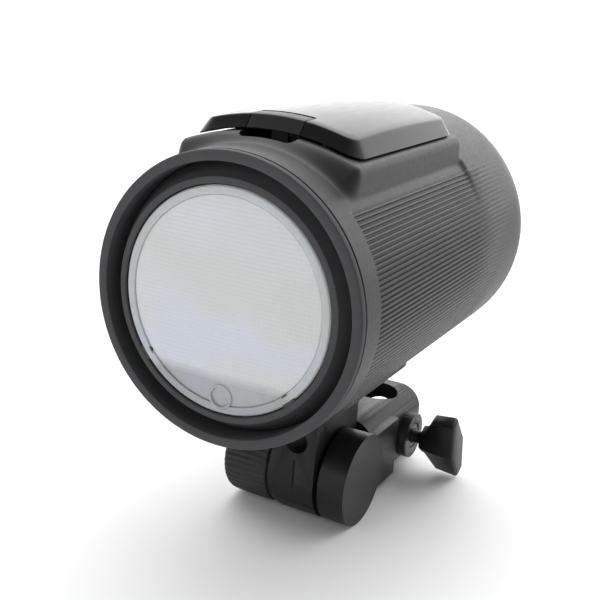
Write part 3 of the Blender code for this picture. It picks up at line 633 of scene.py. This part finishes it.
def battery_outline(inset, steps=10, parts=24):
    """Plan of the battery cover, drawn in by inset, with its long sides and ends divided.
    Its corners tighten as it is drawn in."""
    half_width = BATTERY_HALF_WIDTH - inset
    half_length = (BATTERY_BACK - BATTERY_FRONT) / 2 - inset
    middle = (BATTERY_BACK + BATTERY_FRONT) / 2
    corners = rounded_rectangle(half_width, half_length, COVER_CORNER - 0.8 * inset, (0, middle), steps)
    points = []
    for here, there in zip(corners, corners[1:] + corners[:1]):
        count = parts if math.dist(here, there) > COVER_CORNER else 1
        for k in range(count):
            points.append(tuple(a + (b - a) * k / count for a, b in zip(here, there)))
    return points, middle


def cover_shape():
    half_length = (BATTERY_BACK - BATTERY_FRONT) / 2

    def row(inset, share, crest, crown):
        points, middle = battery_outline(inset)
        ring = []
        for x, y in points:
            px, py = x * share, middle + (y - middle) * share
            lift = crown * (1 - ((py - middle) / half_length) ** 2)
            ring.append(Vector((px, py, deck_height(px, crest) + lift)))
        return ring

    under = COLLAR_CREST + 1.5 * GAP
    rings = [row(0.3, share, under, 0) for share in (0.1, 0.4, 0.7, 1)]
    rings.append(row(0, 1, under + 0.3, 0))
    top = COVER_CREST
    flat = COVER_DRAFT + 0.55
    edges = ((COVER_DRAFT - 0.25, 0.62), (COVER_DRAFT - 0.05, 0.3), (COVER_DRAFT + 0.2, 0.1), (flat, 0))
    rings += [row(inset, 1, top - fall, COVER_CROWN) for inset, fall in edges]
    rings += [row(flat, share, top, COVER_CROWN) for share in (0.9, 0.75, 0.6, 0.45, 0.3, 0.15, 0.04)]
    return lofted(rings)


def button_space(margin, back):
    half = BUTTON_HALF_WIDTH + margin
    return block((-half, BATTERY_FRONT - 5, 30), (half, back, 60))


def battery(studio):
    notch = ("DIFFERENCE", button_space(GAP, BUTTON_BACK + BUTTON_TRAVEL + GAP))
    studio.piece(
        "battery_lid", cover_shape(), "battery", ["battery_cover"], "gloss_black", "gloss_black", [notch],
        smooth=24,
    )
    part = ("INTERSECT", button_space(0, BUTTON_BACK))
    tongue = ("UNION", block((-2.5, 25, 39.2), (2.5, 26.2, COLLAR_CREST + 1)))
    studio.piece(
        "release_key", cover_shape(), "release", ["release_button"], "satin_black", "satin_black",
        [part, tongue], smooth=24,
    )


# Control panel


def panel_places():
    return {"dial": (0, -11), "power_button": (-17.6, -11), "light_button": (17.6, -11)}


def control_panel(studio):
    back = PANEL_FACE - 2.2
    profile = [(PANEL_RADIUS, back), (PANEL_RADIUS, PANEL_FACE - 0.3), (PANEL_RADIUS - 0.3, PANEL_FACE)]
    profile += [(PANEL_RADIUS - 1.6, PANEL_FACE), (PANEL_RADIUS - 1.9, PANEL_FACE - 0.3)]
    profile.append((12, PANEL_FACE - 0.3))
    window = rounded_rectangle(14.8, 8.55, 1.4, (0, 9.25))
    tools = [("DIFFERENCE", prism(window, "Y", PANEL_FACE - 1.2, PANEL_FACE + 2))]
    for name, centre in panel_places().items():
        radius = 2.3 if name == "dial" else 3.5
        tools.append(("DIFFERENCE", cylinder(radius, "Y", 130, 142, centre)))
    plate = turned(profile, "Y")
    studio.piece(
        "control_plate", plate, "head", ["rear_panel"], "gloss_black", "gloss_black", tools, bevel=0.12
    )
    glass = prism(rounded_rectangle(14.5, 8.25, 1.1, (0, 9.25)), "Y", PANEL_FACE - 0.9, PANEL_FACE - 0.35)
    studio.piece("screen_glass", glass, "head", ["display_window"], "screen", "gloss_black", bevel=0.12)


def control_dial(studio):
    """A ring with 48 grip ridges round its edge."""
    centre = panel_places()["dial"]
    ridges, steps = 48, 4
    rings = []
    for mean, depth, y in (
        (8.5, 0.0, 0.3),
        (8.9, 0.3, 0.6),
        (8.95, 0.35, 1.4),
        (8.9, 0.35, 2.4),
        (8.6, 0.15, 2.9),
        (8.2, 0, 3.1),
        (6.4, 0, 3.15),
        (6.1, 0, 2.9),
    ):
        ring = []
        for k in range(ridges * steps):
            angle = math.tau * k / (ridges * steps)
            radius = mean - depth * (0.5 - 0.5 * math.cos(math.tau * k / steps))
            u = centre[0] + radius * math.cos(angle)
            v = centre[1] + radius * math.sin(angle)
            ring.append(across("Y", u, v, PANEL_FACE + y))
        rings.append(ring)
    bore = ("DIFFERENCE", cylinder(4.2, "Y", PANEL_FACE - 1, PANEL_FACE + 6, centre))
    studio.piece("dial_ring", lofted(rings), "dial", ["control_dial"], "satin_black", "satin_black", [bore])


def push_button(studio, name, body, radius, stem, rise):
    """A round cap on a stem, with a dished top."""
    centre = panel_places()["dial" if name == "dial_button" else name]
    face = PANEL_FACE + rise
    profile = [(stem, 131), (stem, face - 1.7), (radius, face - 1.7), (radius, face - 0.4)]
    profile += [(radius - 0.12, face - 0.12), (radius - 0.4, face), (radius - 0.8, face - 0.08)]
    profile += [(radius * 0.5, face - 0.25), (radius * 0.1, face - 0.3)]
    shape = turned(profile, "Y", centre, 64)
    studio.piece(name + "_cap", shape, body, [name], "satin_black", "satin_black", smooth=40)


# Stand adapter


def head_bracket(studio):
    """A saddle that hugs the casing, and a lug with the umbrella hole and the hinge eye."""
    outline = rounded_rectangle(20, 30, 9, (0, 64))
    tools = [("INTERSECT", prism(outline, "Z", -60, -20))]
    eye = [(HINGE_Y + HINGE_RADIUS, -HEAD_RADIUS - 1.5), (HINGE_Y - HINGE_RADIUS, -HEAD_RADIUS - 1.5)]
    steps = 48
    for k in range(steps + 1):
        angle = math.pi + math.pi * k / steps
        eye.append((HINGE_Y + HINGE_RADIUS * math.cos(angle), -HINGE_DROP + HINGE_RADIUS * math.sin(angle)))
    tools.append(("UNION", prism(eye, "X", -LUG_HALF_WIDTH, LUG_HALF_WIDTH)))
    hinge = (HINGE_Y, -HINGE_DROP)
    tools.append(("DIFFERENCE", cylinder(STUD_RADIUS + GAP, "X", -20, 20, hinge)))
    tools.append(("DIFFERENCE", cylinder(UMBRELLA_RADIUS, "Y", 30, 100, (0, -UMBRELLA_DROP))))
    tools.append(("DIFFERENCE", block((-0.35, 49, -84), (0.35, 50.35, -64))))
    for x in (-12, 12):
        for y in (42, 87):
            tools.append(("DIFFERENCE", cylinder(3.3, "Z", -60, -40.6, (x, y), 48)))
            tools.append(("DIFFERENCE", cylinder(1.9, "Z", -60, -20, (x, y), 32)))
    shape = tube(HEAD_RADIUS + GAP, HEAD_RADIUS + 3.2, "Y", 20, 110, sides=256)
    studio.piece(
        "saddle_and_lug", shape, "head", ["head_bracket"], "satin_black", "satin_black", tools, bevel=0.45
    )


def stand_arm(studio):
    hinge = (HINGE_Y, -HINGE_DROP)
    centre = (0, -SOCKET_DROP)
    disc = turned([(HINGE_RADIUS, DISC_INNER), (HINGE_RADIUS, DISC_OUTER)], "X", hinge, 160)
    plate = block(
        (DISC_INNER, HINGE_Y, -SOCKET_DROP - 10.5),
        (BLOCK_HALF_WIDTH + 1.5, 100, -SOCKET_DROP + 10.5),
    )
    outline = rounded_rectangle(BLOCK_HALF_WIDTH, BLOCK_HALF_HEIGHT, BLOCK_CORNER, centre, 16)
    barrel = prism(outline, "Y", BLOCK_FRONT, BLOCK_BACK)
    screw_axis = (SOCKET_Y, -SOCKET_DROP)
    boss = cylinder(BOSS_RADIUS, "X", 8.5, BOSS_END, screw_axis)
    top, bottom = -SOCKET_DROP + BLOCK_HALF_HEIGHT, -SOCKET_DROP - BLOCK_HALF_HEIGHT
    tools = [
        ("UNION", plate),
        ("UNION", barrel),
        ("UNION", boss),
        ("DIFFERENCE", cylinder(SOCKET_RADIUS, "Y", SOCKET_END, BLOCK_BACK + 2, centre)),
        ("DIFFERENCE", cylinder(SOCKET_RADIUS, "Z", bottom - 2, top + 2, (0, SOCKET_Y))),
        ("DIFFERENCE", cylinder(4.5, "X", 9.2, 20, screw_axis, 64)),
        ("DIFFERENCE", cylinder(SCREW_RADIUS + GAP, "X", 5, 12, screw_axis, 48)),
        ("DIFFERENCE", cylinder(STUD_RADIUS + GAP, "X", 5, 15, hinge, 64)),
    ]
    studio.piece("folding_arm", disc, "arm", ["stand_arm"], "satin_black", "satin_black", tools, bevel=0.6)


def tilt_knob(studio):
    """A round knob with 44 rounded grip ribs and a softly domed outer end."""
    ribs, steps = 44, 6
    rings = []
    for radius, rib, x in (
        (14.2, 0, KNOB_INNER),
        (14.6, 0.1, 10.8),
        (14.8, 0.5, 11.4),
        (14.8, 0.55, 18),
        (14.6, 0.55, 24.6),
        (14.3, 0.4, 25.6),
        (13.7, 0.15, 26.4),
        (12.8, 0, 26.75),
        (10, 0, 26.8),
        (9.6, 0, 26.5),
        (2, 0, 26.5),
    ):
        ring = []
        for k in range(ribs * steps):
            angle = math.tau * k / (ribs * steps)
            size = radius - rib * (0.5 - 0.5 * math.cos(math.tau * k / steps)) ** 2
            u = HINGE_Y + size * math.cos(angle)
            v = -HINGE_DROP + size * math.sin(angle)
            ring.append(across("X", u, v, -x))
        rings.append(ring)
    bore = ("DIFFERENCE", cylinder(6.5 + GAP, "X", -24.6, -5, (HINGE_Y, -HINGE_DROP), 64))
    shape = lofted(rings)
    studio.piece("grip_knob", shape, "knob", ["tilt_knob"], "dark_plastic", "dark_plastic", [bore], smooth=40)


def tilt_washer(studio):
    hinge = (HINGE_Y, -HINGE_DROP)
    shape = tube(STUD_RADIUS + GAP, 14.1, "X", -KNOB_INNER + GAP, -LUG_HALF_WIDTH - GAP, hinge)
    studio.piece("thrust_washer", shape, "washer", ["tilt_washer"], "satin_black", "satin_black", bevel=0.3)


def clamp_knob(studio):
    def section(x, half_length, half_width, tip):
        corners = ((half_length, tip), (0, half_width), (-half_length, tip))
        corners += tuple((-s, -t) for s, t in corners)
        ring = []
        for s, t in corners:
            y = s * math.sin(-WING_TILT) + t * math.cos(WING_TILT)
            z = -s * math.cos(WING_TILT) + t * math.sin(-WING_TILT)
            ring.append(Vector((x, SOCKET_Y + y, -SOCKET_DROP + z)))
        return ring

    rings = [
        section(WING_INNER - 2.4, 4.2, 4.6, 2.6),
        section(WING_INNER - 0.6, 4.6, 5.0, 2.8),
        section(WING_INNER + 2.8, WING_HALF_LENGTH - 1.2, 5.6, 2.6),
        section(WING_OUTER - 0.7, WING_HALF_LENGTH, 5.9, 2.6),
        section(WING_OUTER, WING_HALF_LENGTH - 0.7, 5.3, 2.1),
    ]
    bore = ("DIFFERENCE", cylinder(SCREW_RADIUS + GAP, "X", 15, 27.3, (SOCKET_Y, -SOCKET_DROP), 48))
    studio.piece(
        "wing_knob", lofted(rings), "clamp", ["clamp_knob"], "satin_black", "satin_black", [bore], bevel=0.5
    )


def clamp_screw(studio):
    """A round screw with a fine thread: rings whose radius rises and falls along the shaft."""
    pitch, start, end = 0.8, 9.9, 27.0
    rings = 8 * int((end - start) / pitch)
    profile = []
    for k in range(rings + 1):
        x = start + (end - start) * k / rings
        profile.append((SCREW_RADIUS - 0.22 * (0.5 - 0.5 * math.cos(math.tau * (x - start) / pitch)), x))
    shape = turned(profile, "X", (SOCKET_Y, -SOCKET_DROP), 48)
    studio.piece("clamp_thread", shape, "clamp", ["clamp_screw"], "black_steel", "black_steel", smooth=40)


# Looks that need more than one setting


def screen_look():
    look = Look("screen_look", (0.012, 0.014, 0.016), 0.08)
    look.colour_from(look.noise(50, 2), shades((0.012, 0.014, 0.016), 0.9, 1.2))
    look.roughness_from(look.noise(300, 3), 0.06, 0.12)
    look.shader.inputs["Coat Weight"].default_value = 0.6
    look.shader.inputs["Coat Roughness"].default_value = 0.05
    return look.material


def carried_over(studio, frame):
    """Give each CAD node that is still shown the procedural material of its slot."""
    for entry in frame["record"]["subparts"]:
        node = frame["nodes"][entry["node"]]
        node.data.materials.clear()
        node.data.materials.append(studio.looks[entry["material_slot"]])
    frame["nodes"]["led_board"].data.materials[0] = studio.looks["white_board"]


# Studio


def area_light(name, place, target, size, power):
    light = bpy.data.lights.new(name, "AREA")
    light.shape = "RECTANGLE"
    light.size, light.size_y = size
    light.energy = power
    lamp = bpy.data.objects.new(name, light)
    lamp.location = place
    lamp.rotation_euler = (Vector(target) - Vector(place)).to_track_quat("-Z", "Y").to_euler()
    bpy.context.collection.objects.link(lamp)


def floor():
    """A wide pale floor that reaches the horizon."""
    half, strips = 30.0, 12
    shape = bmesh.new()
    places = [-half + 2 * half * k / strips for k in range(strips + 1)]
    rows = [[shape.verts.new((x, y, 0)) for x in places] for y in places]
    for one, two in zip(rows, rows[1:]):
        for k in range(strips):
            shape.faces.new((one[k], one[k + 1], two[k + 1], two[k]))
    mesh = bpy.data.meshes.new("floor")
    shape.to_mesh(mesh)
    shape.free()
    plate = bpy.data.objects.new("floor", mesh)
    bpy.context.collection.objects.link(plate)
    look = Look("floor_look", (0.92, 0.92, 0.925), 0.7)
    look.colour_from(look.noise(3, 2), [(0.3, (0.915, 0.915, 0.92)), (0.7, (0.925, 0.925, 0.93))])
    look.shader.inputs["Specular IOR Level"].default_value = 0.15
    mesh.materials.append(look.material)


def light_room():
    """A white room that is brightest behind and above the strobe, with a soft light before the glass."""
    world = bpy.data.worlds.new("white_room")
    bpy.context.scene.world = world
    world.use_nodes = True
    tree = world.node_tree
    background = tree.nodes["Background"]
    background.inputs["Color"].default_value = (1, 1, 1, 1)
    direction = tree.nodes.new("ShaderNodeTexCoord").outputs["Generated"]
    side = tree.nodes.new("ShaderNodeVectorMath")
    side.operation = "DOT_PRODUCT"
    side.inputs[1].default_value = Vector(BRIGHT_SIDE).normalized()
    tree.links.new(direction, side.inputs[0])
    level = tree.nodes.new("ShaderNodeMapRange")
    level.interpolation_type = "SMOOTHSTEP"
    level.inputs["From Min"].default_value = 0.0
    level.inputs["From Max"].default_value = 1.0
    level.inputs["To Min"].default_value = ROOM_DIM
    level.inputs["To Max"].default_value = ROOM_BRIGHT
    tree.links.new(side.outputs["Value"], level.inputs["Value"])
    tree.links.new(level.outputs["Result"], background.inputs["Strength"])
    area_light("top_softbox", (-0.1, 0.5, 1.1), (0, 0, 0.05), (1.2, 0.9), 4)
    area_light("front_softbox", (-0.5, -1.0, 0.55), (0, -0.07, 0.09), (0.8, 0.8), 4.2)
    bpy.context.scene.view_settings.view_transform = "Standard"


def camera():
    data = bpy.data.cameras.new("camera")
    data.lens = CAMERA_LENS
    data.clip_start, data.clip_end = 0.01, 50
    eye = bpy.data.objects.new("camera", data)
    azimuth, elevation = CAMERA_AZIMUTH, CAMERA_ELEVATION
    back = Vector(
        (
            math.sin(azimuth) * math.cos(elevation),
            -math.cos(azimuth) * math.cos(elevation),
            math.sin(elevation),
        )
    )
    right = (-back).cross(Vector((0, 0, 1))).normalized()
    up = right.cross(-back)
    turn = Matrix.Rotation(CAMERA_ROLL, 3, back)
    right, up = turn @ right, turn @ up
    eye.matrix_world = Matrix.Translation(CAMERA_PLACE) @ Matrix((right, up, back)).transposed().to_4x4()
    bpy.context.collection.objects.link(eye)
    bpy.context.scene.camera = eye


def main():
    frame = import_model()
    studio = Studio()
    studio.looks["screen"] = screen_look()
    camera()
    carried_over(studio, frame)
    casing(studio)
    front_rim(studio)
    glass_bezel(studio)
    front_glass(studio)
    modelling_lamp(studio)
    battery(studio)
    control_panel(studio)
    control_dial(studio)
    push_button(studio, "dial_button", "dial_push", 3.9, 2.0, 2.9)
    push_button(studio, "power_button", "power_push", 3.2, 3.2, 0.9)
    push_button(studio, "light_button", "light_push", 3.2, 3.2, 0.9)
    head_bracket(studio)
    stand_arm(studio)
    tilt_knob(studio)
    tilt_washer(studio)
    clamp_knob(studio)
    clamp_screw(studio)
    floor()
    light_room()


main()
